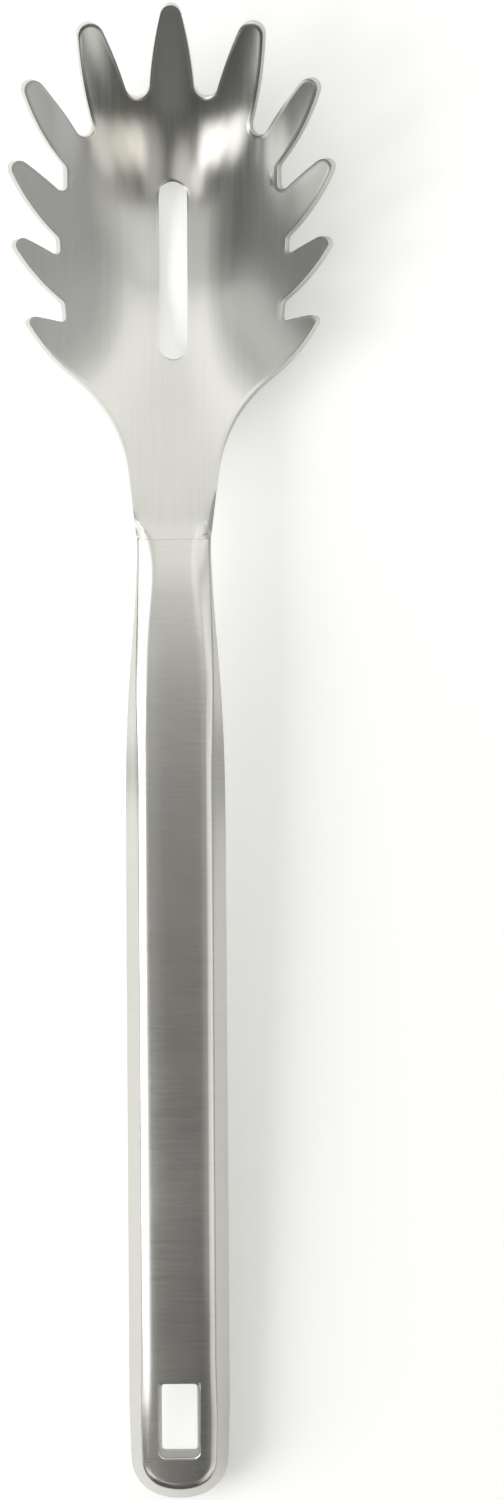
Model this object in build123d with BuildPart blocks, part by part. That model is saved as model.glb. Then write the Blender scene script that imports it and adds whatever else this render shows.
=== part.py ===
from build123d import *
from math import acos, asin, atan2, cos, exp, hypot, pi, radians, sin, sqrt, tan
import os

# All sizes are in millimetres.  +Y runs from the handle to the tip of the head, +Z is up,
# and X is the width.  The origin lies on the table, under the middle of the length.
# The server rests bowl up, on the bottom of its bowl and on the end of its handle.

# Overall sizes
total_length = 330.0
head_half_width = 36.0
handle_half_width = 11.0
tip_y = total_length / 2
handle_end_y = -total_length / 2
head_reach = 59.0           # from the lowest point of the bowl to the tip
neck_run = 58.5             # from the lowest point of the bowl back to the handle
bowl_centre_y = tip_y - head_reach
joint_y = bowl_centre_y - neck_run

# The stamped sheet of the head
sheet_thickness = 1.8
bowl_reach = 35.0           # how far the flat middle of the bowl reaches before the rim rises
rim_rise_share = 1.1        # rise of the rim far out, as a share of the run
front_stretch_share = 0.68  # below 1 makes the bowl longer towards the tip than it is wide
neck_underside = 15.2       # height of the sheet's underside where the handle starts

# The neck, where the sheet enters the handle
neck_half_width = 8.15
tang_half_width = 5.2
tang_length = 24.0
tang_corner = 2.5
tang_thickness = 1.1        # ground thinner than the sheet, to slide under the shells' noses
weld_gap = 0.05             # at the ground weld between the sheet and the two shells
tang_gap = 0.05             # around the tang, inside the handle
nose_side_share = 0.7       # how far up the nose's sides stay upright, of half the thickness
nose_edge = 0.25            # width of the nose's ground corner

# The rim of the head, as a belt laid round circles from the tip tine to the neck.
# Each row is x and y of a circle's centre and its radius: x as a share of the half width,
# y as a share of the distance from the bowl's centre to the tip, and the radius as a share
# of the half width.  A plus radius is a tine's tip, a minus radius is a notch between tines.
rim_shares = [
    (0.000, 0.959, 0.067),      # middle tine
    (0.218, 0.725, -0.079),
    (0.497, 0.880, 0.082),      # second tine
    (0.558, 0.564, -0.061),
    (0.851, 0.676, 0.063),      # third tine
    (0.721, 0.398, -0.051),
    (0.703, 0.342, -0.033),
    (0.947, 0.388, 0.054),      # fourth tine
    (0.764, 0.131, -0.046),
    (0.744, 0.100, -0.028),
    (0.936, 0.107, 0.047),      # fifth tine
    (0.739, -0.115, -0.051),
    (0.708, -0.158, -0.025),
    (0.869, -0.178, 0.035),     # sixth tine
    (1.133, -0.803, -0.861),    # waist between the last tine and the neck
]
straight_side = 80.0        # radius of the nearly straight sides of the front tines
bulged_side = 42.0          # radius of the fuller sides that face the handle
plain_tine_count = 2        # tines on each side, the middle one included, without the fuller sides

# The slot in the bottom of the bowl
slot_width = 6.7
slot_length = 40.6
slot_centre_y = bowl_centre_y

# The two pressed handle shells
handle_wall = 0.8
half_depth = 5.0            # half the depth of the handle near its end
end_draft = 30.0            # degrees from upright, of the slope around the handle's end
seam_height_front = neck_underside + sheet_thickness / 2
# the seam slopes down to the end, where the flat underside comes to rest on the table
seam_fall = (seam_height_front - half_depth) / (joint_y - handle_end_y)
seam_height_end = half_depth - seam_fall * half_depth * tan(radians(end_draft))
handle_tilt = atan2(seam_height_front - seam_height_end, joint_y - handle_end_y)
handle_length = (joint_y - weld_gap - handle_end_y) / cos(handle_tilt)
past_end = 6.0              # the lofts run on past the handle's end, then are cut to shape

# Handle sections, evenly spaced from the nose to past the end.  Each section is a flat top and
# bottom, a narrow bevel out to the shoulder, and a flank down to the seam at the widest.
section_count = 25
nose_length = 2.6           # the front widens over this length to meet the sheet
swell_reach = 30.0          # the width grows to its full size over about twice this run
end_widening = 0.2          # gained slowly between there and the end
flat_half_front = 5.2
flat_half_width = 7.0
flat_start = 10.0           # run behind the joint where the flat begins to widen
flat_reach = 26.0
shoulder_inset_front = 0.12 # how far the shoulder lies inside the seam
shoulder_inset = 3.0
shoulder_start = 18.0
shoulder_reach = 40.0
lift_front_share = 0.15     # height of the shoulder, as a share of the flat's height
lift_share = 0.85
lift_start = 10.0
lift_reach = 70.0
top_reach = 45.0            # the top rises away from the seam over about twice this run
under_reach = 25.0
under_spare = 0.12          # planed off the underside, which makes it truly flat

# The rounded end of the handle
end_corner = 9.0
end_arc = 15.0
end_bevel_draft = 50.0      # degrees from upright, of the bevel above it
end_bevel_height = 0.6
end_cut_run = 30.0          # how far the end's cutting form reaches up the handle
end_narrowing = 0.2         # the form is this much narrower than the handle where it rounds
end_flare = 1.8             # and this much wider again at its far side

# The hanging hole, drawn in from both shells
hole_width = 8.8
hole_length = 16.2
hole_from_end = 18.2        # from the hole's middle to the end of the handle
hole_centre_y = handle_end_y + hole_from_end
hole_corner = 1.7
hole_draw_in = 0.5          # each wall leans in this much on its way to the seam
hole_lip = 0.4
hole_past = 1.0             # cuts run on this far past a face


def soft_rise(run, reach, slope):
    # level at first, then climbing at an even slope
    return slope * (hypot(run, reach) - reach)


def ease(share):
    # 0 to 1 with a level start and a level finish
    share = min(max(share, 0), 1)
    return share * share * (3 - 2 * share)


# the slot takes away the lowest line of the bowl, so the bowl rests on the slot's edges
slot_edge_rise = soft_rise(slot_width / 2, bowl_reach, rim_rise_share)


def underside(x, y):
    """Height of the sheet's lower face above the table."""
    if y >= bowl_centre_y:
        run = hypot(x, (y - bowl_centre_y) * front_stretch_share)
        return soft_rise(run, bowl_reach, rim_rise_share) - slot_edge_rise
    if y < joint_y:
        return neck_underside - tan(handle_tilt) * (joint_y - y)
    way = (bowl_centre_y - y) / (bowl_centre_y - joint_y)
    side = soft_rise(x, bowl_reach, rim_rise_share) - slot_edge_rise
    return neck_underside * ease(way) + side * (1 - ease(way))


def belt_joint(first, second, side_radius):
    """Points where the belt leaves one circle and meets the next, and the side's centre."""
    x1, y1, r1 = first
    x2, y2, r2 = second
    gap = hypot(x2 - x1, y2 - y1)
    aim = atan2(y2 - y1, x2 - x1)
    if r1 * r2 > 0:
        turn = pi / 2 + asin((abs(r2) - abs(r1)) / gap)
        if r1 < 0:
            turn = -turn
        way = Vector(cos(aim + turn), sin(aim + turn))
        return Vector(x1, y1) + way * abs(r1), Vector(x2, y2) + way * abs(r2), None
    arm1 = side_radius - r1
    arm2 = side_radius - r2
    along = (arm1**2 - arm2**2 + gap**2) / (2 * gap)
    across = sqrt(arm1**2 - along**2)
    centre = Vector(
        x1 + along * cos(aim) + across * sin(aim),
        y1 + along * sin(aim) - across * cos(aim),
    )
    leave = centre + (Vector(x1, y1) - centre) * (side_radius / arm1)
    meet = centre + (Vector(x2, y2) - centre) * (side_radius / arm2)
    return leave, meet, centre


def arc_between(centre, start, finish, is_tip):
    """The short arc round a circle; tips turn clockwise along the belt, notches the other way."""
    radius = (start - centre).length
    from_angle = atan2(start.Y - centre.Y, start.X - centre.X)
    to_angle = atan2(finish.Y - centre.Y, finish.X - centre.X)
    turn = (to_angle - from_angle) % (2 * pi)
    if is_tip:
        turn -= 2 * pi
    middle = from_angle + turn / 2
    ThreePointArc(start, centre + Vector(cos(middle), sin(middle)) * radius, finish)


circles = [
    (
        x_share * head_half_width,
        bowl_centre_y + y_share * head_reach,
        radius_share * head_half_width,
    )
    for x_share, y_share, radius_share in rim_shares
]


def half_rim():
    """Right half of the rim, from the middle of the tip tine to the shoulder of the tang."""
    at = Vector(circles[0][0], circles[0][1] + circles[0][2])
    tine_count = 0
    for first, second in zip(circles, circles[1:]):
        if first[2] > 0:
            tine_count += 1
        faces_handle = tine_count > plain_tine_count and first[2] > 0
        side_radius = bulged_side if faces_handle else straight_side
        leave, meet, side_centre = belt_joint(first, second, side_radius)
        arc_between(Vector(first[0], first[1]), at, leave, first[2] > 0)
        if side_centre is None:
            Line(leave, meet)
        else:
            arc_between(side_centre, leave, meet, True)
        at = meet
    # the waist runs into a straight taper that ends at the neck
    waist = Vector(circles[-1][0], circles[-1][1])
    waist_radius = abs(circles[-1][2])
    neck = Vector(neck_half_width, joint_y)
    reach = neck - waist
    turn = atan2(reach.Y, reach.X) - acos(waist_radius / reach.length)
    touch = waist + Vector(cos(turn), sin(turn)) * waist_radius
    arc_between(waist, at, touch, False)
    Line(touch, neck)
    Line(neck, (tang_half_width, joint_y))


# The server head: one sheet with the bowl, eleven tines, slot, neck and tang
grid_margin = 5.0
grid_step = 3.5
tang_end_y = joint_y - tang_length
grid_left = -head_half_width - grid_margin
grid_low = tang_end_y - grid_margin
columns = int(2 * (head_half_width + grid_margin) / grid_step) + 1
rows = int((tip_y + grid_margin - grid_low) / grid_step) + 1
grid = [
    [
        Vector(x, y, underside(x, y))
        for y in (grid_low + row * (tip_y + grid_margin - grid_low) / (rows - 1) for row in range(rows))
    ]
    for x in (grid_left + column * -2 * grid_left / (columns - 1) for column in range(columns))
]
fit_tolerance = 0.005
drawn_surface = Face.make_surface_from_array_of_points(grid, tol=fit_tolerance, min_deg=3, max_deg=5)

with BuildPart() as blank:
    with BuildSketch() as blank_outline:
        with BuildLine():
            half_rim()
            corner_start = (tang_half_width, tang_end_y + tang_corner)
            corner_end = (tang_half_width - tang_corner, tang_end_y)
            Line((tang_half_width, joint_y), corner_start)
            RadiusArc(corner_start, corner_end, tang_corner)
            Line(corner_end, (0, tang_end_y))
            mirror(about=Plane.YZ)
        make_face()
        with Locations((0, slot_centre_y)):
            SlotOverall(slot_length, slot_width, rotation=90, mode=Mode.SUBTRACT)
    extrude(amount=total_length / 2)

trimmed = drawn_surface & blank.part
handle_frame = Location((0, joint_y - weld_gap, seam_height_front), (handle_tilt * 180 / pi, 0, 0))
seam_plane = Plane(handle_frame)
relief_length = tang_length + grid_margin
with BuildPart() as tang_relief:
    with BuildSketch(seam_plane):
        with Locations((0, -relief_length / 2)):
            Rectangle(2 * neck_half_width, relief_length)
    extrude(amount=sheet_thickness, both=True)
    with BuildSketch(seam_plane):
        with Locations((0, -relief_length / 2)):
            Rectangle(2 * neck_half_width, relief_length)
    extrude(amount=tang_thickness / 2, both=True, mode=Mode.SUBTRACT)

with BuildPart() as server_head:
    add(Solid.thicken(trimmed.face(), sheet_thickness))
    add(tang_relief.part, mode=Mode.SUBTRACT)


# The handle's outer form and its hollow, both made from the same sections


def section_plane(run):
    # upright across the handle, at a run back from the joint
    return Plane(handle_frame * Location((0, -run, 0), (90, 0, 0)))


def section_outline(run, wall):
    """Corners of a handle section at a run behind the joint, or of the hollow inside it."""
    swell = 1 - exp(-((run / swell_reach) ** 2))
    widening = end_widening * run / handle_length
    seam = neck_half_width + (handle_half_width + widening - neck_half_width) * swell
    flat = flat_half_front + (flat_half_width - flat_half_front) * ease((run - flat_start) / flat_reach)
    nose_depth = sheet_thickness / 2
    top = half_depth + (nose_depth - half_depth) * exp(-run / top_reach)
    deepest = half_depth + under_spare
    under = deepest + (nose_depth - deepest) * exp(-run / under_reach)
    if wall:
        # the hollow keeps one wall thickness everywhere, so it needs no shoulder of its own
        corners = []
        for height in (top, under):
            slope = atan2(height, seam - flat)
            foot = seam - wall / sin(slope)
            corners.append((foot, foot - (height - wall) / tan(slope), height - wall))
        foot = min(corners[0][0], corners[1][0])
        return [
            (foot, 0),
            (corners[0][1], corners[0][2]),
            (-corners[0][1], corners[0][2]),
            (-foot, 0),
            (-corners[1][1], -corners[1][2]),
            (corners[1][1], -corners[1][2]),
        ]
    inset = shoulder_inset - shoulder_inset_front
    shoulder = seam - shoulder_inset_front - inset * ease((run - shoulder_start) / shoulder_reach)
    lift = lift_front_share + (lift_share - lift_front_share) * ease((run - lift_start) / lift_reach)
    return [
        (seam, 0),
        (shoulder, lift * top),
        (flat, top),
        (-flat, top),
        (-shoulder, lift * top),
        (-seam, 0),
        (-shoulder, -lift * under),
        (-flat, -under),
        (flat, -under),
        (shoulder, -lift * under),
    ]


def long_form(wall):
    """The handle's length as one smooth loft, or its hollow when a wall is given."""
    with BuildPart() as form:
        section_step = (handle_length + past_end - nose_length) / (section_count - 1)
        for section in range(section_count):
            run = nose_length + section * section_step
            with BuildSketch(section_plane(run)):
                with BuildLine():
                    Polyline(section_outline(run, wall), close=True)
                make_face()
        loft()
    return form.part


def nose_form():
    """The short front of the handle, which widens to meet the sheet's edges flush."""
    side = nose_side_share * sheet_thickness / 2
    top = sheet_thickness / 2
    flat = neck_half_width - nose_edge
    front = [(neck_half_width, 0), (neck_half_width, side), (flat, top), (-flat, top)]
    front = front + [(-neck_half_width, side), (-neck_half_width, 0)]
    front = front + [(-neck_half_width, -side), (-flat, -top), (flat, -top), (neck_half_width, -side)]
    with BuildPart() as form:
        with BuildSketch(section_plane(0)):
            with BuildLine():
                Polyline(front, close=True)
            make_face()
        with BuildSketch(section_plane(nose_length)):
            with BuildLine():
                Polyline(section_outline(nose_length, 0), close=True)
            make_face()
        loft(ruled=True)
    return form.part


def end_form(draft, grow):
    """The handle's rounded end, leaning in above and below the seam at the given draft."""
    half_width = handle_half_width - end_narrowing + grow
    corner = end_corner + grow
    arc = end_arc + grow
    arc_centre_y = -handle_length + end_arc
    corner_x = half_width - corner
    corner_y = arc_centre_y - sqrt((arc - corner) ** 2 - corner_x**2)
    turn = atan2(corner_y - arc_centre_y, corner_x)
    far_y = -handle_length + 2 * end_cut_run
    with BuildPart() as form:
        with BuildSketch(seam_plane):
            with BuildLine():
                Line((0, far_y), (half_width + end_flare, far_y))
                Line((half_width + end_flare, far_y), (half_width, corner_y))
                corner_mid = (corner_x + corner * cos(turn / 2), corner_y + corner * sin(turn / 2))
                meet = (arc * cos(turn), arc_centre_y + arc * sin(turn))
                ThreePointArc((half_width, corner_y), corner_mid, meet)
                low_turn = (turn - pi / 2) / 2
                arc_mid = (arc * cos(low_turn), arc_centre_y + arc * sin(low_turn))
                ThreePointArc(meet, arc_mid, (0, arc_centre_y - arc))
                mirror(about=Plane.YZ)
            make_face()
        extrude(amount=half_depth + past_end / 2, taper=draft)
        mirror(about=seam_plane)
    return form.part


def closed_form(wall):
    """The whole handle as a closed solid, drawn in by a wall for its hollow."""
    flank = radians(end_draft)
    bevel = radians(end_bevel_draft)
    bevel_foot = half_depth - end_bevel_height
    bevel_grow = bevel_foot * (tan(bevel) - tan(flank))
    rounded = end_form(end_draft, -wall / cos(flank))
    if not wall:
        rounded = rounded & end_form(end_bevel_draft, bevel_grow)
    rear_length = end_cut_run + 2 * past_end
    rear_middle = -handle_length + end_cut_run - rear_length / 2
    rear_block = handle_frame * Pos(0, rear_middle, 0) * Box(
        4 * handle_half_width, rear_length, 2 * half_depth + past_end / 2
    )
    closed = long_form(wall) - (rear_block - rounded)
    if wall:
        return closed
    # the underside is planed flat where the loft reaches the full depth
    under_block = handle_frame * Pos(0, -handle_length / 2, -half_depth - past_end / 2) * Box(
        4 * handle_half_width, handle_length + 2 * past_end, past_end
    )
    return closed - under_block


def hole_form(grow):
    """The hanging hole from face to face, narrowest at the seam."""
    draw_angle = atan2(hole_draw_in, half_depth) * 180 / pi
    hole_run = (joint_y - hole_centre_y) / cos(handle_tilt)
    with BuildPart() as form:
        with BuildSketch(Plane(handle_frame * Location((0, -hole_run, 0)))):
            RectangleRounded(
                hole_width - 2 * hole_draw_in + 2 * grow,
                hole_length - 2 * hole_draw_in + 2 * grow,
                radius=hole_corner - hole_draw_in + grow,
            )
        extrude(amount=half_depth + hole_past, taper=-draw_angle)
        with BuildSketch(Plane(handle_frame * Location((0, -hole_run, half_depth - hole_lip)))):
            RectangleRounded(
                hole_width + 2 * grow,
                hole_length + 2 * grow,
                radius=hole_corner + grow,
            )
        extrude(amount=hole_lip + hole_past, taper=-45)
        mirror(about=seam_plane)
    return form.part


outer_form = closed_form(0) + nose_form()
hollow = closed_form(handle_wall)
collar = hole_form(handle_wall) & outer_form
hole = hole_form(0)
with BuildPart() as tang_space:
    with BuildSketch(seam_plane):
        with Locations((0, -tang_length / 2)):
            Rectangle(2 * (tang_half_width + tang_gap), tang_length + 2 * tang_gap)
    extrude(amount=tang_thickness / 2 + tang_gap, both=True)


def shell_half(keep):
    """Walls of one pressed half, with its share of the hole's drawn collar."""
    add(outer_form)
    add(hollow, mode=Mode.SUBTRACT)
    add(collar)
    add(hole, mode=Mode.SUBTRACT)
    add(tang_space.part, mode=Mode.SUBTRACT)
    split(bisect_by=seam_plane, keep=keep)


# Handle top shell: the brushed upper half
with BuildPart() as handle_top_shell:
    shell_half(Keep.TOP)

# Handle bottom shell: the lower half, welded to the upper along the seam
with BuildPart() as handle_bottom_shell:
    shell_half(Keep.BOTTOM)


os.makedirs("parts", exist_ok=True)
server_head.part.label = "server_head"
export_step(server_head.part, "parts/server_head.step")
handle_top_shell.part.label = "handle_top_shell"
export_step(handle_top_shell.part, "parts/handle_top_shell.step")
handle_bottom_shell.part.label = "handle_bottom_shell"
export_step(handle_bottom_shell.part, "parts/handle_bottom_shell.step")

for piece in (server_head, handle_top_shell, handle_bottom_shell):
    box = piece.part.bounding_box()
    print(piece.part.label, "volume", round(piece.part.volume, 1), "solids", len(piece.part.solids()))
    print("  from", tuple(round(v, 2) for v in box.min), "to", tuple(round(v, 2) for v in box.max))
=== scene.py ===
import bpy
import math
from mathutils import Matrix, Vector
from mathutils.geometry import delaunay_2d_cdt
from mathutils.kdtree import KDTree


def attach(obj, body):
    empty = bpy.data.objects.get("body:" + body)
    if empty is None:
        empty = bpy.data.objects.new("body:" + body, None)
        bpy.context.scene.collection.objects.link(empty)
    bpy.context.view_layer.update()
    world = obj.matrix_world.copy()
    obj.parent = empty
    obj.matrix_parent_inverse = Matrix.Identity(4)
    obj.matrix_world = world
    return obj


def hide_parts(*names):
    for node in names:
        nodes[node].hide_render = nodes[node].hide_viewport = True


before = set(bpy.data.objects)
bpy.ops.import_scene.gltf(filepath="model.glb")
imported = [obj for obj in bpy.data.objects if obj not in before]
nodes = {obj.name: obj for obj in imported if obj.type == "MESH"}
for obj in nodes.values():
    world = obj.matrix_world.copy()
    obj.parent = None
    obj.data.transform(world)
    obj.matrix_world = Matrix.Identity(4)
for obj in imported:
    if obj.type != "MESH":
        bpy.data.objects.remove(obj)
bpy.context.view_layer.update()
print("frame loaded:", sorted(nodes))

# the dictionaries hold millimetres and degrees, and v is the one in use
mm = 0.001


def deselectAll():
    if bpy.context.object and bpy.context.object.mode != "OBJECT":
        bpy.ops.object.mode_set(mode="OBJECT")
    bpy.ops.object.select_all(action="DESELECT")


def pickOnly(piece):
    deselectAll()
    piece.select_set(True)
    bpy.context.view_layer.objects.active = piece


def applyPlace(piece):
    pickOnly(piece)
    bpy.ops.object.transform_apply(location=True, rotation=True, scale=True)


def ease(share):
    # from 0 to 1, level at both ends
    share = min(max(share, 0), 1)
    return share * share * (3 - 2 * share)


def mix(first, second, share):
    return first + (second - first) * share


def between(first, second, share):
    return tuple(mix(a, b, share) for a, b in zip(first, second))


def softPast(run, soft):
    # nothing before 0 and the run itself after it, with a soft bend
    return (run + math.hypot(run, soft)) / 2


def softRise(run, reach, slope):
    return slope * (math.hypot(run, reach) - reach)


def sizeAlong(run, start, *steps):
    # a size that changes along a run: how large it starts, then each gain, where it begins and its length
    return start + sum(gain * ease((run - begin) / length) for gain, begin, length in steps)


def feed(tree, source, target):
    # a socket takes another node's output, or a fixed value
    if isinstance(source, bpy.types.NodeSocket):
        tree.links.new(source, target)
    else:
        target.default_value = source


def calculate(tree, operation, *values):
    node = tree.nodes.new("ShaderNodeMath")
    node.operation = operation
    for value, target in zip(values, node.inputs):
        feed(tree, value, target)
    return node.outputs["Value"]


def vectorMath(tree, operation, first, second):
    node = tree.nodes.new("ShaderNodeVectorMath")
    node.operation = operation
    feed(tree, first, node.inputs[0])
    feed(tree, second, node.inputs[1])
    return node.outputs["Value" if operation in ("DOT_PRODUCT", "DISTANCE") else "Vector"]


def scaled(tree, colour, strength):
    node = tree.nodes.new("ShaderNodeVectorMath")
    node.operation = "SCALE"
    feed(tree, colour, node.inputs[0])
    feed(tree, strength, node.inputs["Scale"])
    return node.outputs["Vector"]


def axisOf(tree, place, axis):
    split = tree.nodes.new("ShaderNodeSeparateXYZ")
    tree.links.new(place, split.inputs[0])
    return split.outputs[axis]


def ranged(tree, value, start, stop, low=0.0, high=1.0, smooth=False):
    # low where the value is at the start, high where it is at the stop
    node = tree.nodes.new("ShaderNodeMapRange")
    node.interpolation_type = "SMOOTHSTEP" if smooth else "LINEAR"
    feed(tree, value, node.inputs["Value"])
    for name, number in (("From Min", start), ("From Max", stop), ("To Min", low), ("To Max", high)):
        node.inputs[name].default_value = number
    return node.outputs["Result"]


# camera, from the photograph: nearly straight down, a little to the right of the handle
cameraValues = {
    "place": (16.9, 1.1, 1050),
    "turn": -0.33,              # the server leans a little to the left
    "sensor": 36.0,
    "focalPixels": 4704,
    "pictureHeight": 1500,      # pixels
    "clip": (10, 20000),
}


def makeCamera(v):
    deselectAll()
    place = [size * mm for size in v["place"]]
    bpy.ops.object.camera_add(location=place, rotation=(0, 0, math.radians(v["turn"])))
    camera = bpy.context.object
    camera.name = "photoCamera"
    camera.data.sensor_width = v["sensor"]
    camera.data.lens = v["sensor"] * v["focalPixels"] / v["pictureHeight"]
    camera.data.clip_start = v["clip"][0] * mm
    camera.data.clip_end = v["clip"][1] * mm
    bpy.context.scene.camera = camera


makeCamera(cameraValues)
bpy.context.scene.view_settings.view_transform = "Standard"
print("camera ready")


# lights: white boards that the steel mirrors, and a soft window that lights the table
lampColours = {
    "plain": (1.0, 1.0, 1.0),
    "paper": (1.0, 1.0, 0.98),
    "oldPaper": (1.0, 1.0, 0.97),
    "ivory": (1.0, 0.99, 0.97),
    "oldIvory": (1.0, 0.99, 0.96),
    "cream": (1.0, 0.98, 0.94),
    "oldCream": (1.0, 0.98, 0.92),
    "straw": (1.0, 0.97, 0.90),
    "amber": (1.0, 0.96, 0.87),
}
boardValues = {
    # x from and to, y from and to, height, brightness, colour
    "leftBoard": ((-230, -17), (-155, 20), 55, 2.0, "ivory"),
    "leftBoardFront": ((-95, -17), (20, 55), 55, 1.15, "ivory"),
    "leftGlow": ((-17, -6), (-110, 30), 56, 0.1, "paper"),
    "rightBoard": ((26, 120), (-240, 42), 57, 0.45, "cream"),
    "rightGlow": ((11, 120), (-130, 30), 58, 0.17, "cream"),
    "jointGlow": ((8, 22), (28, 58), 59, 0.3, "paper"),
    # the board over the head, in three layers so that its edge is soft
    "headBoard": ((-140, 188), (46, 450), 266, 0.25, "paper"),
    "headBoardMiddle": ((-180, 235), (42, 450), 268, 0.18, "paper"),
    "headBoardEdge": ((-235, 290), (20, 450), 270, 0.14, "paper"),
}
tableLightingBoards = ("headBoard", "headBoardMiddle", "headBoardEdge")
windowValues = {
    "toward": (-1.0, -0.3, 0.53),
    "distance": 1500,
    "size": 1100,
    "power": 22.5,              # watts
    "colour": "ivory",
}


def makeBoard(name, xRange, yRange, height, brightness, colour):
    wide, long = ((stop - start) * mm for start, stop in (xRange, yRange))
    deselectAll()
    middle = (sum(xRange) / 2 * mm, sum(yRange) / 2 * mm, height * mm)
    bpy.ops.object.light_add(type="AREA", location=middle)
    board = bpy.context.object
    board.name = name
    board.data.shape = "RECTANGLE"
    board.data.size = wide
    board.data.size_y = long
    board.data.energy = brightness * math.pi * wide * long
    board.data.color = lampColours[colour]
    board.visible_camera = False
    board.visible_diffuse = name in tableLightingBoards


def makeWindow(v):
    toward = Vector(v["toward"]).normalized()
    deselectAll()
    bpy.ops.object.light_add(type="AREA", location=toward * v["distance"] * mm)
    window = bpy.context.object
    window.name = "window"
    window.rotation_euler = toward.to_track_quat("Z", "Y").to_euler()
    window.data.size = v["size"] * mm
    window.data.energy = v["power"]
    window.data.color = lampColours[v["colour"]]
    window.visible_glossy = False


for boardName, boardSetting in boardValues.items():
    makeBoard(boardName, *boardSetting)
makeWindow(windowValues)


# room: grey all round, with soft lamps in given directions
roomValues = {
    "grey": (0.092, 0.092, 0.087),
    "backdrop": 1.0,
    "lamps": [
        # toward, angle where it is full, angle where it has faded out, strength, colour
        ((0.0, 0.8, 0.6), 10, 60, 0.34, "paper"),
        ((-0.6, 0.5, 0.6), 10, 35, 0.25, "plain"),
        ((0.6, 0.5, 0.6), 10, 35, 0.15, "plain"),
        ((-1.0, 0.0, 0.2), 10, 45, 0.17, "plain"),
        ((1.0, 0.0, 0.2), 10, 50, 0.36, "plain"),
        ((0.0, 0.06, 1.0), 2, 15, 0.25, "paper"),
        # a row to the left of the handle, mirrored in the right of the bowl
        ((-0.38, -0.475, 0.79), 3, 5.5, 1.9, "oldIvory"),
        ((-0.49, -0.46, 0.74), 3, 5.5, 1.9, "oldIvory"),
        ((-0.61, -0.44, 0.65), 3, 6, 1.7, "oldIvory"),
        ((-0.32, -0.38, 0.87), 2, 6, 1.0, "cream"),
        ((-0.135, -0.405, 0.90), 3, 10, 0.7, "cream"),
        ((-0.90, -0.26, 0.36), 2, 6, 0.85, "paper"),
        ((-0.79, -0.335, 0.51), 1, 5, 0.35, "paper"),
        ((-0.75, 0.28, 0.60), 4, 15, 0.22, "paper"),
        # a weaker and warmer row to its right, mirrored in the left of the bowl
        ((0.36, -0.485, 0.80), 2.5, 6.5, 1.0, "amber"),
        ((0.49, -0.455, 0.75), 2.5, 6.5, 0.85, "amber"),
        ((0.63, -0.40, 0.66), 2, 7.5, 0.65, "straw"),
        ((0.63, -0.28, 0.72), 4, 17, 0.12, "oldCream"),
        ((0.22, -0.45, 0.86), 3, 11, 0.42, "cream"),
        ((0.35, -0.07, 0.93), 4, 14, 0.18, "oldPaper"),
        # faint ones further round, for the tips
        ((0.65, -0.60, 0.47), 1, 7, 0.3, "paper"),
        ((0.52, -0.70, 0.49), 1, 6, 1.1, "paper"),
        ((-0.65, -0.62, 0.44), 1, 6, 0.8, "paper"),
        ((-0.94, -0.14, 0.30), 2, 7, 0.5, "paper"),
        ((0.86, -0.44, 0.26), 6, 18, 0.2, "paper"),
        ((0.0, -0.73, 0.68), 4, 12, 0.1, "paper"),
    ],
}


def makeRoom(v):
    world = bpy.data.worlds.new("paleRoom")
    bpy.context.scene.world = world
    world.use_nodes = True
    tree = world.node_tree
    tree.nodes.clear()
    direction = tree.nodes.new("ShaderNodeTexCoord").outputs["Generated"]
    light = v["grey"]
    for toward, full, fade, strength, colour in v["lamps"]:
        aim = vectorMath(tree, "DOT_PRODUCT", direction, Vector(toward).normalized())
        fadedAt, fullAt = (math.cos(math.radians(angle)) for angle in (fade, full))
        glow = ranged(tree, aim, fadedAt, fullAt, 0, strength, smooth=True)
        light = vectorMath(tree, "ADD", light, scaled(tree, lampColours[colour], glow))
    room = tree.nodes.new("ShaderNodeBackground")
    tree.links.new(light, room.inputs["Color"])
    backdrop = tree.nodes.new("ShaderNodeBackground")
    backdrop.inputs["Strength"].default_value = v["backdrop"]
    rays = tree.nodes.new("ShaderNodeLightPath")
    seen = tree.nodes.new("ShaderNodeMixShader")
    tree.links.new(rays.outputs["Is Camera Ray"], seen.inputs["Fac"])
    tree.links.new(room.outputs[0], seen.inputs[1])
    tree.links.new(backdrop.outputs[0], seen.inputs[2])
    output = tree.nodes.new("ShaderNodeOutputWorld")
    tree.links.new(seen.outputs[0], output.inputs["Surface"])


makeRoom(roomValues)
print("lights ready")


# table: plain and pale, lifted to white for the camera and for what the steel mirrors, with painted shade
# on its right in the reflections
tableValues = {
    "half": 3000,
    "colour": (0.86, 0.87, 0.85),
    "roughness": 0.9,
    "lift": 0.32,
    "liftColour": (1.0, 1.0, 0.985),
    "paintedShadeFade": (-10, 25),    # x from and to, where the lift that the steel mirrors fades into painted shade
    "paintedShadeLeast": 0.25,
    "holeY": -146.8,            # the hanging hole, with a painted pool of light on the table under it
    "holePaintedLight": 0.36,
    "holePaintedLightFade": (9, 12),
}


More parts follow.
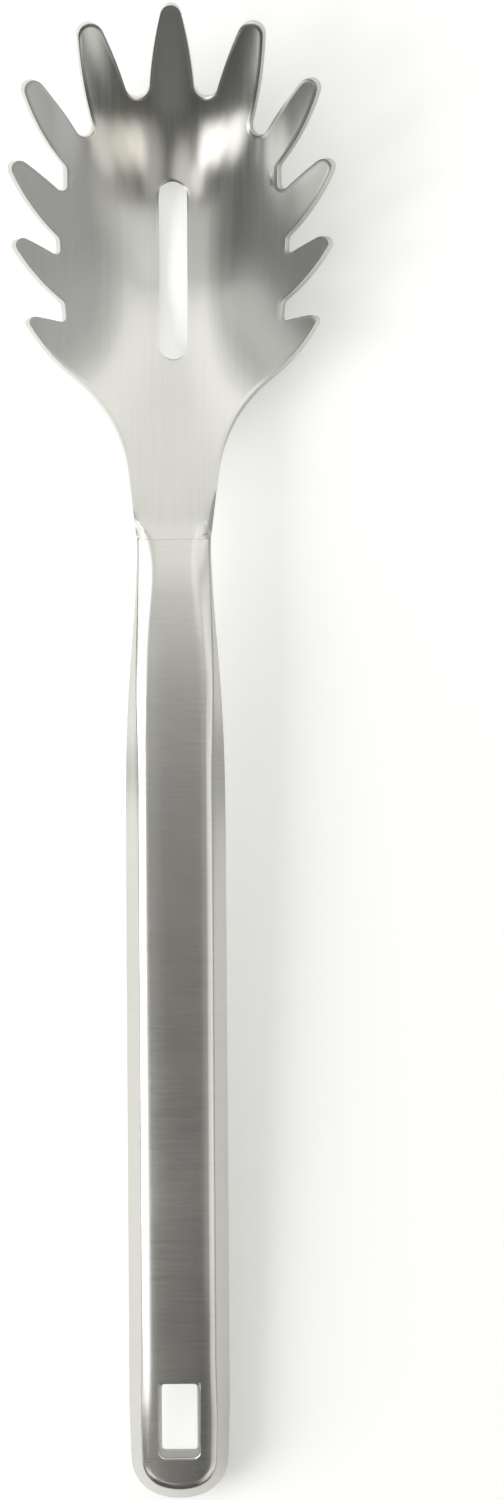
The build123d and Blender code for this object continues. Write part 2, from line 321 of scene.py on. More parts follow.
def makeTable(v):
    deselectAll()
    bpy.ops.mesh.primitive_plane_add(size=2 * v["half"] * mm, location=(0, 0, 0))
    table = bpy.context.object
    table.name = "paleTable"
    material = bpy.data.materials.new("paleTabletop")
    material.use_nodes = True
    tree = material.node_tree
    shader = tree.nodes["Principled BSDF"]
    shader.inputs["Base Color"].default_value = (*v["colour"], 1)
    shader.inputs["Roughness"].default_value = v["roughness"]
    shader.inputs["Specular IOR Level"].default_value = 0
    shader.inputs["Emission Color"].default_value = (*v["liftColour"], 1)
    place = tree.nodes.new("ShaderNodeTexCoord").outputs["Object"]
    rays = tree.nodes.new("ShaderNodeLightPath")
    camera = rays.outputs["Is Camera Ray"]
    # painted shade: the table as the steel mirrors it darkens to the right, as if in the server's shadow
    start, stop = v["paintedShadeFade"]
    shade = ranged(tree, axisOf(tree, place, "X"), start * mm, stop * mm, 1, v["paintedShadeLeast"])
    mirrored = calculate(tree, "MULTIPLY", rays.outputs["Is Glossy Ray"], shade)
    lift = calculate(tree, "MULTIPLY", calculate(tree, "MAXIMUM", camera, mirrored), v["lift"])
    # painted light: the table glows under the hanging hole, for the camera only
    away = vectorMath(tree, "DISTANCE", place, (0, v["holeY"] * mm, 0))
    start, stop = v["holePaintedLightFade"]
    glow = ranged(tree, away, start * mm, stop * mm, v["holePaintedLight"], 0, smooth=True)
    seenPaintedLight = calculate(tree, "MULTIPLY", glow, camera)
    feed(tree, calculate(tree, "ADD", lift, seenPaintedLight), shader.inputs["Emission Strength"])
    table.data.materials.append(material)


makeTable(tableValues)
print("table ready")


# head: one pressed sheet, with y running along the server to its tip
headValues = {
    "thickness": 1.8,
    "halfWidth": 36.0,
    "bowlCentreY": 106.0,
    "reach": 59.0,              # from there to the tip
    "bowlReach": 35.0,          # how far the flat middle of the bowl reaches
    "rimRise": 1.1,
    "frontStretch": 0.68,       # below 1 makes the bowl longer towards the tip
    "floorGap": 0.002,
    "tineBend": 37.0,           # the front bends up a little more from here
    "tineBendSoft": 3.0,
    "tineBendSlope": 0.07,
    "tineBendBack": (12.0, 0.458),              # lowers the front again, so that the tip keeps its height
    "tineBendSides": (1, (-1, 19, 8)),          # and it fades to the sides
    "slot": (6.7, 40.6),
    "slotCentreY": 107.7,
    # the rim is a belt round circles: x as a share of the half width, y as a share of the reach,
    # radius as a share of the half width, plus for a tine's tip, minus for a notch and the waist
    "rimShares": [
        (0.000, 0.959, 0.067), (0.218, 0.725, -0.079), (0.497, 0.880, 0.082), (0.558, 0.564, -0.061),
        (0.851, 0.676, 0.063), (0.721, 0.398, -0.051), (0.703, 0.342, -0.033), (0.947, 0.388, 0.054),
        (0.764, 0.131, -0.046), (0.744, 0.100, -0.028), (0.936, 0.107, 0.047), (0.739, -0.115, -0.051),
        (0.708, -0.158, -0.025), (0.869, -0.178, 0.035), (1.133, -0.803, -0.861),
    ],
    "straightSide": 80.0,       # radius of the front tines' sides
    "bulgedSide": 42.0,         # radius of the sides that face the handle
    "plainTines": 2,            # tines from the middle without such sides
    "rimRadius": 0.32,
    "rimSegments": 3,
    "rimAngle": 50,             # edges sharper than this are rounded
    # the neck, where the sheet meets the handle
    "jointY": 47.5,
    "jointSnap": 0.2,
    "neckHalfWidth": 8.15,
    "neckTaper": 0.135,
    "neckUnderside": 15.2,
    "neckSlope": 0.038,         # leans to meet the rising handle
    "neckSlopeFade": 8.0,
    # its corners are ground down: width at the joint, then how it narrows away from there
    "leftCorner": (3.3, (-2.4, 0, 4.2), (-0.9, 2.5, 7)),
    "rightCorner": (3.3, (-3.3, 0, 15)),
    "cornerReach": 16.0,
    "cornerFade": 6.0,
    "cornerSlope": 0.157,
    "cornerSoft": 0.3,
    "cornerStrip": 0.42,        # a steeper strip along the edge
    "cornerSide": 0.45,
    "cornerCurve": 1.2,
    "cornerFull": 2.0,          # width from which the strip is full
    "cornerLeast": 0.02,        # half the thickness that is left at least
    # mesh
    "step": 0.8,                # size of its squares
    "band": 0.9,                # width of the strip along each rim
    "rimSpacing": 0.6,
    "gridClearShare": 0.55,     # of a square, between the grid and the strip
    "slotClearShare": 0.97,     # of the strip, that faces keep clear of the slot
    "closest": 0.00001,
    "squareAngle": 30,
    "squareSkew": 40,
}


def sheetUnderside(x, y, v):
    slotEdge = softRise(v["slot"][0] / 2, v["bowlReach"], v["rimRise"])
    past = y - v["bowlCentreY"]
    if past >= 0:
        rise = softRise(math.hypot(x, past * v["frontStretch"]), v["bowlReach"], v["rimRise"])
        soft = v["tineBendSoft"]
        bend = softPast(past - v["tineBend"], soft) - softPast(-v["tineBend"], soft)
        bend -= softRise(past, *v["tineBendBack"])
        bend *= v["tineBendSlope"] * sizeAlong(abs(x), *v["tineBendSides"])
        return rise + bend - slotEdge + v["floorGap"]
    way = ease(past / (v["jointY"] - v["bowlCentreY"]))
    side = softRise(x, v["bowlReach"], v["rimRise"]) - slotEdge
    run = y - v["jointY"]
    lean = v["neckSlope"] * run * math.exp(-run / v["neckSlopeFade"])
    return mix(side, v["neckUnderside"], way) - lean + v["floorGap"]


def angleOf(centre, point):
    return math.atan2(point[1] - centre[1], point[0] - centre[0])


def arcPoints(centre, radius, start, turn, outward, spacing):
    # places on an arc in at least three steps, with the directions away from the steel
    count = max(3, math.ceil(abs(radius * turn) / spacing))
    points = []
    for i in range(count + 1):
        angle = start + turn * i / count
        way = (math.cos(angle), math.sin(angle))
        place = (centre[0] + radius * way[0], centre[1] + radius * way[1])
        points.append((place, (way[0] * outward, way[1] * outward)))
    return points


def beltJoint(first, second, side):
    # where the belt leaves one circle and meets the next, and the centre of the side between them
    (x1, y1, r1), (x2, y2, r2) = first, second
    gap = math.hypot(x2 - x1, y2 - y1)
    aim = math.atan2(y2 - y1, x2 - x1)
    if r1 * r2 > 0:
        turn = math.pi / 2 + math.asin((abs(r2) - abs(r1)) / gap)
        turn = -turn if r1 < 0 else turn
        way = (math.cos(aim + turn), math.sin(aim + turn))
        leave = (x1 + way[0] * abs(r1), y1 + way[1] * abs(r1))
        return leave, (x2 + way[0] * abs(r2), y2 + way[1] * abs(r2)), None
    arm1, arm2 = side - r1, side - r2
    along = (arm1**2 - arm2**2 + gap**2) / (2 * gap)
    across = math.sqrt(arm1**2 - along**2)
    centre = (
        x1 + along * math.cos(aim) + across * math.sin(aim),
        y1 + along * math.sin(aim) - across * math.cos(aim),
    )
    return between(centre, (x1, y1), side / arm1), between(centre, (x2, y2), side / arm2), centre


def halfRim(v):
    # right half of the rim, from the middle of the tip to the neck
    circles = []
    for x, y, radius in v["rimShares"]:
        circles.append((x * v["halfWidth"], v["bowlCentreY"] + y * v["reach"], radius * v["halfWidth"]))
    points = []
    at = (circles[0][0], circles[0][1] + circles[0][2])
    tineCount = 0
    for first, second in zip(circles, circles[1:]):
        isTip = first[2] > 0
        tineCount += isTip
        side = v["bulgedSide"] if isTip and tineCount > v["plainTines"] else v["straightSide"]
        leave, meet, sideCentre = beltJoint(first, second, side)
        start = angleOf(first, at)
        turn = (angleOf(first, leave) - start) % math.tau
        turn -= math.tau if isTip else 0
        points += arcPoints(first, abs(first[2]), start, turn, 1 if isTip else -1, v["rimSpacing"])
        if sideCentre is not None:
            start = angleOf(sideCentre, leave)
            turn = (angleOf(sideCentre, meet) - start) % math.tau - math.tau
            points += arcPoints(sideCentre, side, start, turn, 1, v["rimSpacing"])[1:-1]
        at = meet
    # the last circle is the waist, and a straight taper runs from it down to the neck
    waist = circles[-1]
    radius = abs(waist[2])
    neck = (v["neckHalfWidth"], v["jointY"])
    start = angleOf(waist, at)
    touch = angleOf(waist, neck) - math.acos(radius / math.dist(neck, waist[:2]))
    points += arcPoints(waist, radius, start, (touch - start) % math.tau, -1, v["rimSpacing"])
    place, way = points[-1]
    count = math.ceil(math.dist(place, neck) / v["rimSpacing"])
    points += [(between(place, neck, i / count), way) for i in range(1, count + 1)]
    return points


def wholeRim(v):
    # the right half, the straight end at the joint with its square corners, and the left half
    right = halfRim(v)
    left = [((-x, y), (-nx, ny)) for (x, y), (nx, ny) in reversed(right[1:])]
    corners = [(right[-1][0], (1, -1)), (left[0][0], (-1, -1))]
    count = math.ceil(2 * v["neckHalfWidth"] / v["step"])
    end = [(between(corners[0][0], corners[1][0], i / count), (0, -1)) for i in range(1, count)]
    return right[:-1] + corners[:1] + end + corners[1:] + left[1:]


def slotRim(v):
    width, length = v["slot"]
    straight = length - width
    count = math.ceil(straight / v["rimSpacing"])
    points = []
    for side, start in ((1, 0), (-1, math.pi)):
        # the front's half circle and the left side, then the same turned round
        centre = (0, v["slotCentreY"] + side * straight / 2)
        points += arcPoints(centre, width / 2, start, math.pi, -1, v["rimSpacing"])
        for i in range(1, count):
            points.append(((-side * width / 2, centre[1] - side * straight * i / count), (side, 0)))
    return points


def crossings(loops, y):
    # where a level line crosses the loops, from left to right
    found = []
    for loop in loops:
        for (x1, y1), (x2, y2) in zip(loop, loop[1:] + loop[:1]):
            if (y1 <= y) != (y2 <= y):
                found.append(x1 + (x2 - x1) * (y - y1) / (y2 - y1))
    return sorted(found)


def gridPlaces(loops, v):
    # a square grid between the loops, kept a little clear of them
    loopPlaces = [place for loop in loops for place in loop]
    near = KDTree(len(loopPlaces))
    for i, place in enumerate(loopPlaces):
        near.insert((*place, 0), i)
    near.balance()
    places = []
    step = v["step"]
    for row in range(int(2 * v["reach"] / step)):
        y = v["jointY"] + row * step
        found = crossings(loops, y)
        for start, stop in zip(found[::2], found[1::2]):
            for column in range(math.ceil(start / step), math.ceil(stop / step)):
                place = (column * step, y)
                if near.find((*place, 0))[2] > v["gridClearShare"] * step:
                    places.append(place)
    return places


def isOutsideSlot(corners, v):
    width, length = v["slot"]
    x = sum(corner[0] for corner in corners) / len(corners)
    y = sum(corner[1] for corner in corners) / len(corners) - v["slotCentreY"]
    past = max(abs(y) - (length - width) / 2, 0)
    return math.hypot(x, past) > width / 2 + v["band"] * v["slotClearShare"]


def flatSheet(v):
    # points and faces of the sheet seen from above: a grid, then an even strip along each rim
    loops = (wholeRim(v), slotRim(v))
    insideLoops = []
    for loop in loops:
        insideLoops.append([(x - nx * v["band"], y - ny * v["band"]) for (x, y), (nx, ny) in loop])
    places = []
    edges = []
    for loop in insideLoops:
        first, count = len(places), len(loop)
        edges += [(first + i, first + (i + 1) % count) for i in range(count)]
        places += loop
    places += gridPlaces(insideLoops, v)
    # 1 asks for the triangles inside the outer loop
    flat = delaunay_2d_cdt([Vector(place) for place in places], edges, [], 1, v["closest"])
    points = [tuple(point) for point in flat[0]]
    faces = [list(face) for face in flat[2] if isOutsideSlot([points[i] for i in face], v)]
    inside = {source: i for i, sources in enumerate(flat[3]) for source in sources}
    first = 0
    for loop in loops:
        start, count = len(points), len(loop)
        points += [place for place, way in loop]
        for i in range(count):
            j = (i + 1) % count
            faces.append([inside[first + i], start + i, start + j, inside[first + j]])
        first += count
    return points, faces


def pressSheet(v):
    # the flat sheet is lifted to the form of its underside, and gets its thickness upwards
    points, faces = flatSheet(v)
    mesh = bpy.data.meshes.new("serverHead")
    mesh.from_pydata([(x * mm, y * mm, sheetUnderside(x, y, v) * mm) for x, y in points], [], faces)
    head = bpy.data.objects.new("serverHead", mesh)
    bpy.context.scene.collection.objects.link(head)
    pickOnly(head)
    bpy.ops.object.mode_set(mode="EDIT")
    bpy.ops.mesh.select_all(action="SELECT")
    bpy.ops.mesh.tris_convert_to_quads(
        face_threshold=math.radians(v["squareAngle"]),
        shape_threshold=math.radians(v["squareSkew"]),
    )
    bpy.ops.mesh.normals_make_consistent(inside=False)
    bpy.ops.object.mode_set(mode="OBJECT")
    if sum(polygon.normal.z for polygon in mesh.polygons) < 0:
        mesh.flip_normals()
    thicken = head.modifiers.new("thickness", "SOLIDIFY")
    thicken.thickness = v["thickness"] * mm
    thicken.offset = 1
    bpy.ops.object.modifier_apply(modifier=thicken.name)
    for vertex in mesh.vertices:
        if vertex.co.y < (v["jointY"] + v["jointSnap"]) * mm:
            vertex.co.y = v["jointY"] * mm
    return head


def roundRims(head, v):
    # the rim and the slot, but not the end that meets the handle
    pickOnly(head)
    bpy.ops.object.mode_set(mode="EDIT")
    bpy.ops.mesh.select_mode(type="EDGE")
    bpy.ops.mesh.select_all(action="DESELECT")
    bpy.ops.mesh.edges_select_sharp(sharpness=math.radians(v["rimAngle"]))
    bpy.ops.object.mode_set(mode="OBJECT")
    mesh = head.data
    for edge in mesh.edges:
        if all(mesh.vertices[i].co.y < (v["jointY"] + v["jointSnap"]) * mm for i in edge.vertices):
            edge.select = False
    bpy.ops.object.mode_set(mode="EDIT")
    bpy.ops.mesh.bevel(
        offset=v["rimRadius"] * mm,
        segments=v["rimSegments"],
        affect="EDGES",
        clamp_overlap=True,
    )
    bpy.ops.object.mode_set(mode="OBJECT")


def grindCorners(head, v):
    # both faces of the neck's corners, as it enters the handle
    for vertex in head.data.vertices:
        x, y, z = (size / mm for size in vertex.co)
        run = y - v["jointY"]
        if run > v["cornerReach"]:
            continue
        width = sizeAlong(run, *v["rightCorner" if x > 0 else "leftCorner"])
        fromEdge = max(v["neckHalfWidth"] + run * v["neckTaper"] - abs(x), 0)
        drop = softPast(width - fromEdge, v["cornerSoft"]) * v["cornerSlope"]
        drop *= ease((v["cornerReach"] - run) / v["cornerFade"])
        if fromEdge < v["cornerStrip"]:
            steep = (1 - fromEdge / v["cornerStrip"])**v["cornerCurve"]
            drop += v["cornerSide"] * steep * ease(width / v["cornerFull"])
        middle = sheetUnderside(x, y, v) + v["thickness"] / 2
        height = z - middle
        left = max(abs(height) - drop, v["cornerLeast"])
        vertex.co.z = (middle + math.copysign(left, height)) * mm


serverHead = pressSheet(headValues)
roundRims(serverHead, headValues)
grindCorners(serverHead, headValues)
print("head made:", len(serverHead.data.polygons), "faces")


# handle: two shells on one sloping line, with the run measured back from the joint
handleValues = {
    "jointY": 47.495,
    "seamHeight": 16.1,
    "tilt": 3.0307,
    "length": 212.75,
    "frontHalfWidth": 8.15,
    "halfWidth": 11.0,
    "widthReach": 30.0,         # it widens over about twice this run
    "endWidening": 0.2,
    "halfDepth": 5.0,
    "noseDepth": 0.9,
    "topReach": 45.0,           # it deepens over about twice this run
    "underReach": 25.0,
    "underSpare": 0.12,         # planed off the underside
    # sizes that change along the handle: at the joint, then each gain, where it begins and its length
    "flankInset": (0.36, (2.64, 5, 51)),
    "flankLiftShare": (0.48, (0.32, 6, 28), (0.05, 34, 60)),        # of the depth
    "flatHalf": (4.85, (-0.4, 0, 4), (1.9, 4, 20), (0.6, 20, 26)),
    "endShare": (0, (1, 180, 22)),          # how far the sizes of the end have taken over
    "endFlank": (2.6, 4.35),    # distance in, height
    "endFlatInset": 3.7,
    "endHalfWidth": 10.8,
    "endTaper": 0.035,
    "endCorner": 9.0,
    "endArc": 15.0,
    "endCornerSteps": 14,
    "endArcSteps": 7,
    "endGap": 0.5,              # the straight part stops this far before the corner
    # across the shell
    "seamGroove": ((0.10, 0), (0.03, 0.05), (0.02, 0.12)),          # distance in, height
    "grooveFull": 1.0,          # height of the flank from which it is full
    "flankShares": (0.33, 0.66),
    "shoulderRound": 0.9,
    "flatRound": 1.0,
    "mostRoundShare": 0.45,     # of a facet's width
    "roundPoints": 5,
    "crown": ((0.10, 2), (0.12, 6)),        # drops at the flat's edges, and how late they set in
    "crownHalf": 7.0,
    "crownShares": (0.86, 0.72, 0.57, 0.42, 0.28, 0.14, 0),
    "stationSteps": ((6, 0.5), (30, 1), (math.inf, 2)),             # up to a run, the step
    "merge": 0.0005,            # points closer than this become one
    # the tang's width, length and thickness, and the hole's width, length and corner
    "tang": (10.4, 24.0, 1.1),
    "tangOverlap": 1.0,         # with the sheet
    "tangGap": 0.05,
    "hole": (8.8, 16.2, 1.7),
    "holeFromEnd": 18.2,
    "holeDrawIn": 0.5,
    "holePast": 0.3,            # past the seam
    "holeSegments": 8,
    # height, growth
    "holeLip": ((4.35, 0), (4.6, 0.06), (4.8, 0.18), (4.92, 0.34), (5.02, 0.55), (5.6, 0.8)),
}


def handleHalfWidth(run, v):
    return mix(v["frontHalfWidth"], v["halfWidth"], 1 - math.exp(-(run / v["widthReach"])**2))


def crownDrop(x, v):
    share = abs(x) / v["crownHalf"]
    return sum(drop * share**power for drop, power in v["crown"])


def roundCorner(before, corner, after, reach, count):
    # a soft bend in place of a corner, starting and ending at a reach from it
    start = between(corner, before, reach / math.dist(before, corner))
    stop = between(corner, after, reach / math.dist(corner, after))
    points = []
    for i in range(count):
        share = i / (count - 1)
        points.append(between(between(start, corner, share), between(corner, stop, share), share))
    return points


def handleOutline(v):
    # along the right side and round the end: the run, the place and the direction outwards
    cornerX = v["endHalfWidth"] - v["endCorner"]
    arcY = v["endArc"] - v["length"]
    cornerY = arcY - math.sqrt((v["endArc"] - v["endCorner"])**2 - cornerX**2)
    outline = []
    run = 0
    while run < -cornerY - v["endGap"]:
        wide = handleHalfWidth(run, v) + v["endWidening"] * run / v["length"]
        narrowed = v["endHalfWidth"] + v["endTaper"] * (-cornerY - run)
        outline.append((run, (min(wide, narrowed), -run), (1, 0)))
        run += next(step for until, step in v["stationSteps"] if run < until)
    turn = math.atan2(cornerY - arcY, cornerX)
    steps = v["endCornerSteps"]
    bends = [(cornerX, cornerY, v["endCorner"], turn * i / steps) for i in range(steps + 1)]
    steps = v["endArcSteps"]
    bends += [(0, arcY, v["endArc"], mix(turn, -math.pi / 2, i / steps)) for i in range(1, steps + 1)]
    for x, y, radius, angle in bends:
        way = (math.cos(angle), math.sin(angle))
        outline.append((v["length"], (x + way[0] * radius, y + way[1] * radius), way))
    return outline


def handleSection(run, place, way, isTop, v):
    # points across the shell at one place of its outline, from the right seam to the left one
    (x, y), (nx, ny) = place, way
    deep = v["halfDepth"] + (0 if isTop else v["underSpare"])
    reach = v["topReach"] if isTop else v["underReach"]
    depth = min(mix(deep, v["noseDepth"], math.exp(-run / reach)), v["halfDepth"])
    endShare = sizeAlong(run, *v["endShare"])
    shoulder = between(
        (sizeAlong(run, *v["flankInset"]), sizeAlong(run, *v["flankLiftShare"]) * depth),
        v["endFlank"],
        endShare,
    )
    flatInset = handleHalfWidth(run, v) - sizeAlong(run, *v["flatHalf"])
    flatInset = mix(flatInset, v["endFlatInset"], endShare)
    insets = (flatInset, flatInset + v["flatRound"])
    edge, inner = ((inset, depth - crownDrop(x - nx * inset, v)) for inset in insets)
    most = v["mostRoundShare"] * math.dist(shoulder, edge)
    reach = min(v["shoulderRound"], v["mostRoundShare"] * math.hypot(*shoulder), most)
    shoulderBend = roundCorner((0, 0), shoulder, edge, reach, v["roundPoints"])
    flatBend = roundCorner(shoulder, edge, inner, min(v["flatRound"], most), v["roundPoints"])
    grooveSize = min(shoulder[1] / v["grooveFull"], 1)
    section = [(inset * grooveSize, height * grooveSize) for inset, height in v["seamGroove"]]
    section += [between(section[-1], shoulderBend[0], share) for share in v["flankShares"]]
    section += shoulderBend
    section.append(between(shoulderBend[-1], flatBend[0], 1 / 2))
    section += flatBend
    half = [(x - nx * inset, y - ny * inset, height) for inset, height in section]
    flatX, flatY = half[-1][:2]
    for share in v["crownShares"]:
        column = share * flatX
        half.append((column, flatY, depth - crownDrop(column, v)))
    return half + [(-a, b, c) for a, b, c in reversed(half[:-1])]


def cutAway(piece, cutter):
    pickOnly(piece)
    cut = piece.modifiers.new("cut", "BOOLEAN")
    cut.operation = "DIFFERENCE"
    cut.solver = "EXACT"
    cut.object = cutter
    bpy.ops.object.modifier_apply(modifier=cut.name)
    bpy.data.objects.remove(cutter)


def holeCutter(v):
    # leans outwards from just below the seam, then flares into the lip
    width, length, corner = v["hole"]
    draw = v["holeDrawIn"]
    y = v["holeFromEnd"] - v["length"]
    height = -v["holePast"]
    size = (width - 2 * draw, length - 2 * draw)
    deselectAll()
    bpy.ops.mesh.primitive_plane_add(size=1, location=(0, y * mm, height * mm))
    cutter = bpy.context.object
    cutter.scale = (size[0] * mm, size[1] * mm, 1)
    applyPlace(cutter)
    bpy.ops.object.mode_set(mode="EDIT")
    bpy.ops.mesh.select_all(action="SELECT")
    bpy.ops.mesh.bevel(offset=(corner - draw) * mm, segments=v["holeSegments"], affect="VERTICES")
    for nextHeight, growth in v["holeLip"]:
        nextSize = (width + 2 * growth, length + 2 * growth)
        climb = (0, 0, (nextHeight - height) * mm)
        stretch = (nextSize[0] / size[0], nextSize[1] / size[1], 1)
        bpy.ops.mesh.extrude_region_move(TRANSFORM_OT_translate={"value": climb})
        bpy.ops.transform.resize(value=stretch, center_override=(0, y * mm, 0))
        size, height = nextSize, nextHeight
    bpy.ops.mesh.select_all(action="SELECT")
    bpy.ops.mesh.normals_make_consistent(inside=False)
    bpy.ops.object.mode_set(mode="OBJECT")
    return cutter


def tangBlock(gap, v):
    # the tang with a gap all round, and its start inside the sheet
    width, length, thickness = v["tang"]
    overlap = v["tangOverlap"]
    deselectAll()
    bpy.ops.mesh.primitive_cube_add(size=1, location=(0, (overlap - length) / 2 * mm, 0))
    block = bpy.context.object
    block.scale = [(size + 2 * gap) * mm for size in (width, length + overlap, thickness)]
    applyPlace(block)
    return block


def placeOnHandle(piece, v):
    # from the handle's own level frame to the sloping line
    piece.location = (0, v["jointY"] * mm, v["seamHeight"] * mm)
    piece.rotation_euler = (math.radians(v["tilt"]), 0, 0)
    applyPlace(piece)


def makeShell(name, isTop, v):
    # a flat grid is bent to the sections; its last row folds onto itself at the very end
    sections = [handleSection(run, place, way, isTop, v) for run, place, way in handleOutline(v)]
    rows, columns = len(sections), len(sections[0])
    deselectAll()
    bpy.ops.mesh.primitive_grid_add(x_subdivisions=columns - 1, y_subdivisions=rows - 1, size=1)
    shell = bpy.context.object
    shell.name = name
    mesh = shell.data
    for vertex in mesh.vertices:
        column = round((0.5 - vertex.co.x) * (columns - 1))
        row = round((0.5 - vertex.co.y) * (rows - 1))
        vertex.co = [size * mm for size in sections[row][column]]
    bpy.ops.object.mode_set(mode="EDIT")
    bpy.ops.mesh.select_mode(type="VERT")
    bpy.ops.mesh.select_all(action="SELECT")
    bpy.ops.mesh.remove_doubles(threshold=v["merge"] * mm)
    bpy.ops.mesh.select_all(action="DESELECT")
    bpy.ops.object.mode_set(mode="OBJECT")
    # close the front, then the seam
    for vertex in mesh.vertices:
        vertex.select = vertex.co.y > -v["merge"] * mm
    bpy.ops.object.mode_set(mode="EDIT")
    bpy.ops.mesh.edge_face_add()
    bpy.ops.mesh.select_all(action="DESELECT")
    bpy.ops.mesh.select_non_manifold()
    bpy.ops.mesh.edge_face_add()
    bpy.ops.mesh.select_all(action="SELECT")
    bpy.ops.mesh.normals_make_consistent(inside=False)
    bpy.ops.object.mode_set(mode="OBJECT")
    cutAway(shell, holeCutter(v))
    cutAway(shell, tangBlock(v["tangGap"], v))
    if not isTop:
        # turned upside down, which also turns it inside out
        shell.scale = (1, 1, -1)
        applyPlace(shell)
        bpy.ops.object.mode_set(mode="EDIT")
        bpy.ops.mesh.select_all(action="SELECT")
        bpy.ops.mesh.normals_make_consistent(inside=False)
        bpy.ops.object.mode_set(mode="OBJECT")
    placeOnHandle(shell, v)
    return shell


topShell = makeShell("topShell", True, handleValues)
bottomShell = makeShell("bottomShell", False, handleValues)
print("handle made:", len(topShell.data.polygons), "and", len(bottomShell.data.polygons), "faces")

# the tang belongs to the sheet and slides between the shells
tang = tangBlock(0, handleValues)
placeOnHandle(tang, handleValues)
pickOnly(serverHead)
tang.select_set(True)
bpy.ops.object.join()


# steel: satin on the head, brushed across on the handle
brushingValues = {
    "lineNoise": (1, 4, 0.65),          # scale, detail, roughness
    "rippleNoise": (1, 1, 0.5),
    "smudgeNoise": (34, 3, 0.5),
    "noiseRange": (0.25, 0.75),         # where most of a noise lies
    "lineRoughness": 0.02,
    "smudgeRoughness": (-0.02, 0.03),
    "smudgeLightShare": 0.4,            # how much they lighten, of how much they darken
}
headSteelValues = {
    "name": "headSteel",
    "colour": (0.705, 0.70, 0.67),
    "roughness": 0.15,
    "fineness": (1500, 50, 50),         # lines to the metre along each axis, few where they run
    "ripple": (25, 40, 25),
    "lineDepth": 0.0015,
    "rippleDepth": 0.02,
    "shade": 0.022,                     # how much the lines darken and lighten
    "smudge": 0.06,
}
handleSteelValues = {
    "name": "handleSteel",
    "colour": (0.695, 0.685, 0.655),
    "roughness": 0.15,
    "fineness": (110, 3000, 110),
    "ripple": (420, 9, 9),
    "lineDepth": 0.002,
    "rippleDepth": 0.012,
    "shade": 0.04,
    "smudge": 0.05,
    "brushedFrom": (43, 35),            # y where the brushing sets in, and where it is full
    "rougher": 0.06,
    "anisotropy": 0.6,
    "tintY": (-95, -50, -30, -8),      # a warm, darker tint, full between the middle two
    "tintHalfWidth": 7.0,
    "tintColour": (0.70, 0.635, 0.575),
    "tintStrength": 0.55,
}


def makeBrushing(v):
    # fine lines, slow ripples and soft smudges, as values from 0 to 1
    group = bpy.data.node_groups.new("brushing", "ShaderNodeTree")
    for name in ("Place", "Fineness", "Ripple"):
        group.interface.new_socket(name, in_out="INPUT", socket_type="NodeSocketVector")
    for name in ("Lines", "Ripples", "Smudges"):
        group.interface.new_socket(name, in_out="OUTPUT", socket_type="NodeSocketFloat")
    inside = group.nodes.new("NodeGroupInput")
    outside = group.nodes.new("NodeGroupOutput")

    def addNoise(name, place, scale, detail, roughness):
        noise = group.nodes.new("ShaderNodeTexNoise")
        noise.inputs["Scale"].default_value = scale
        noise.inputs["Detail"].default_value = detail
        noise.inputs["Roughness"].default_value = roughness
        group.links.new(place, noise.inputs["Vector"])
        group.links.new(noise.outputs[0], outside.inputs[name])

    place = inside.outputs["Place"]
    addNoise("Lines", vectorMath(group, "MULTIPLY", place, inside.outputs["Fineness"]), *v["lineNoise"])
    addNoise("Ripples", vectorMath(group, "MULTIPLY", place, inside.outputs["Ripple"]), *v["rippleNoise"])
    addNoise("Smudges", place, *v["smudgeNoise"])
    return group


brushing = makeBrushing(brushingValues)


def addBump(tree, height, depth, shader):
    # on top of the bump that the shader already has
    normal = shader.inputs["Normal"]
    bump = tree.nodes.new("ShaderNodeBump")
    bump.inputs["Distance"].default_value = depth * mm
    tree.links.new(height, bump.inputs["Height"])
    if normal.is_linked:
        tree.links.new(normal.links[0].from_socket, bump.inputs["Normal"])
    tree.links.new(bump.outputs["Normal"], normal)


def makeSteel(v, shared):
    material = bpy.data.materials.new(v["name"])
    material.use_nodes = True
    tree = material.node_tree
    shader = tree.nodes["Principled BSDF"]
    brushed = tree.nodes.new("ShaderNodeGroup")
    brushed.node_tree = brushing
    brushed.inputs["Fineness"].default_value = v["fineness"]
    brushed.inputs["Ripple"].default_value = v["ripple"]
    place = tree.nodes.new("ShaderNodeTexCoord").outputs["Object"]
    tree.links.new(place, brushed.inputs["Place"])

    def spread(name, low, high):
        return ranged(tree, brushed.outputs[name], *shared["noiseRange"], low, high)

    lineLight = spread("Lines", 1 - v["shade"], 1 + v["shade"])
    smudgeLight = spread("Smudges", 1 - v["smudge"], 1 + shared["smudgeLightShare"] * v["smudge"])
    light = calculate(tree, "MULTIPLY", lineLight, smudgeLight)
    tree.links.new(scaled(tree, v["colour"], light), shader.inputs["Base Color"])
    change = shared["lineRoughness"]
    lineRough = spread("Lines", v["roughness"] - change, v["roughness"] + change)
    smudgeRough = spread("Smudges", *shared["smudgeRoughness"])
    tree.links.new(calculate(tree, "ADD", lineRough, smudgeRough), shader.inputs["Roughness"])
    addBump(tree, brushed.outputs["Ripples"], v["rippleDepth"], shader)
    addBump(tree, brushed.outputs["Lines"], v["lineDepth"], shader)
    shader.inputs["Metallic"].default_value = 1.0
    return material


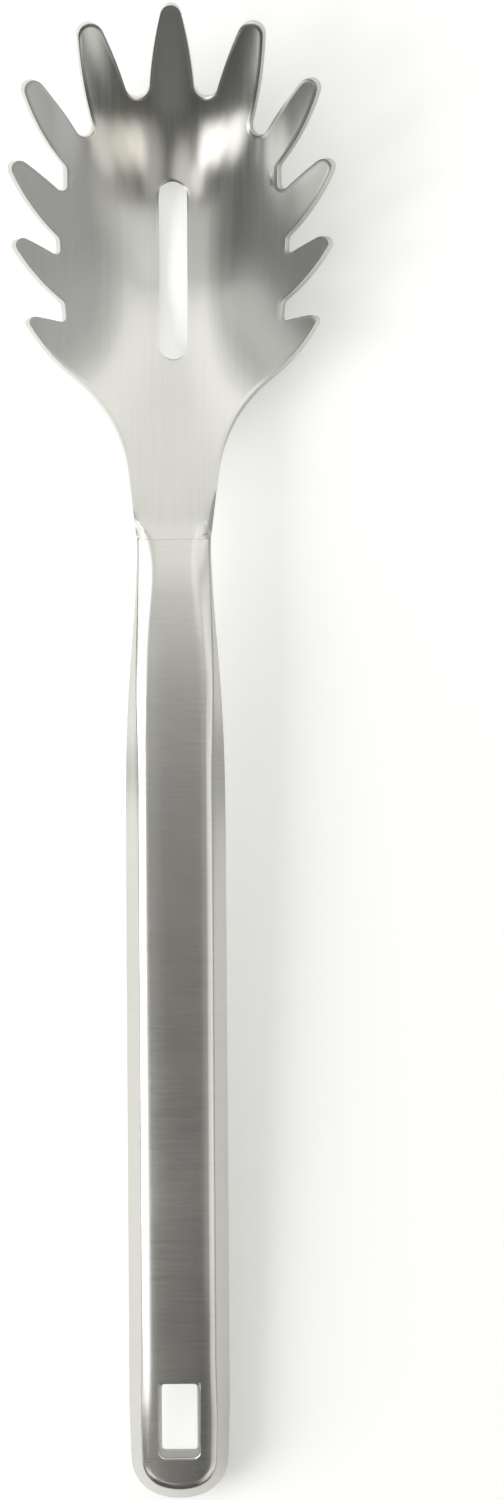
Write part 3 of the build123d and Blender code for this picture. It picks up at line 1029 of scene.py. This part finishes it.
def drawOutReflections(material, v):
    # the brushed part is rougher, and its reflections are drawn out along the handle
    tree = material.node_tree
    shader = tree.nodes["Principled BSDF"]
    normal = tree.nodes.new("ShaderNodeNewGeometry").outputs["Normal"]
    tree.links.new(vectorMath(tree, "CROSS_PRODUCT", normal, (1, 0, 0)), shader.inputs["Tangent"])
    place = tree.nodes.new("ShaderNodeTexCoord").outputs["Object"]
    start, full = v["brushedFrom"]
    brushed = ranged(tree, axisOf(tree, place, "Y"), full * mm, start * mm, 1, 0)
    tree.links.new(calculate(tree, "MULTIPLY", brushed, v["anisotropy"]), shader.inputs["Anisotropic"])
    plain = shader.inputs["Roughness"].links[0].from_socket
    rough = calculate(tree, "MULTIPLY_ADD", brushed, v["rougher"], plain)
    tree.links.new(rough, shader.inputs["Roughness"])


def addWarmTint(material, v):
    # a faint warm, darker tint on the middle of the handle
    tree = material.node_tree
    shader = tree.nodes["Principled BSDF"]
    place = tree.nodes.new("ShaderNodeTexCoord").outputs["Object"]
    across = calculate(tree, "ABSOLUTE", axisOf(tree, place, "X"))
    lengthwise = axisOf(tree, place, "Y")
    backClear, backFull, frontFull, frontClear = v["tintY"]
    fades = (
        (lengthwise, backClear, backFull),
        (lengthwise, frontClear, frontFull),
        (across, v["tintHalfWidth"], 0),
    )
    mask = v["tintStrength"]
    for value, clear, full in fades:
        mask = calculate(tree, "MULTIPLY", mask, ranged(tree, value, clear * mm, full * mm, smooth=True))
    tinted = tree.nodes.new("ShaderNodeMix")
    tinted.data_type = "RGBA"
    plain = shader.inputs["Base Color"].links[0].from_socket
    # the colours of a Mix node are its inputs 6 and 7 and its output 2
    tree.links.new(mask, tinted.inputs[0])
    tree.links.new(plain, tinted.inputs[6])
    tinted.inputs[7].default_value = (*v["tintColour"], 1)
    tree.links.new(tinted.outputs[2], shader.inputs["Base Color"])


headSteel = makeSteel(headSteelValues, brushingValues)
handleSteel = makeSteel(handleSteelValues, brushingValues)
drawOutReflections(handleSteel, handleSteelValues)
addWarmTint(handleSteel, handleSteelValues)

smoothBelow = 38                # edges bent less than this are shaded smooth
pieces = (
    (serverHead, "server_head", headSteel, "head_steel"),
    (topShell, "handle_top_shell", handleSteel, "handle_steel"),
    (bottomShell, "handle_bottom_shell", handleSteel, "handle_steel"),
)
for piece, nodeName, material, slotName in pieces:
    piece.data.materials.clear()
    piece.data.materials.append(material)
    pickOnly(piece)
    bpy.ops.object.shade_smooth_by_angle(angle=math.radians(smoothBelow))
    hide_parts(nodeName)
    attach(piece, "root")
    nodes[nodeName].data.materials.clear()
    nodes[nodeName].data.materials.append(material)
print("steel ready")
